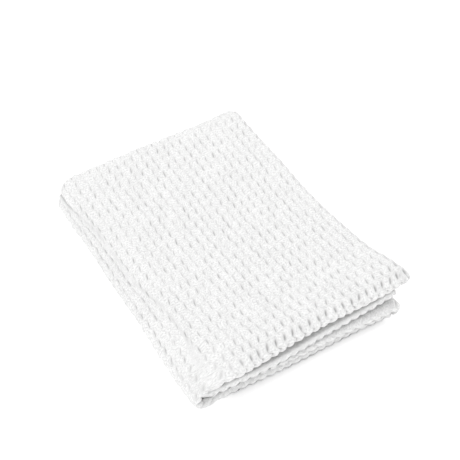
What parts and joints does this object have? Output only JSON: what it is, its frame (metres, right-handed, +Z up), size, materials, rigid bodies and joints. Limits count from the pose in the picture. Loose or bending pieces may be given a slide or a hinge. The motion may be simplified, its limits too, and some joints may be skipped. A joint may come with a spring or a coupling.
{
  "type": "folded bath towel",
  "caption": "White cotton waffle-weave bath towel, hemmed, folded into a flat packet with its folds at the front and along the left side.",
  "frame": {"origin": "bottom centre of the packet's bounding box, at the surface that it lies on", "axes": "+Z up, +Y from the folded front edge towards the back of the packet, +X from the last fold towards the selvedges"},
  "size_m": [0.2724, 0.3544, 0.0559],
  "materials": {
    "cloth": "matt white waffle-weave cotton"
  },
  "bodies": {
    "root": {"towel": "cloth"}
  },
  "joints": []
}
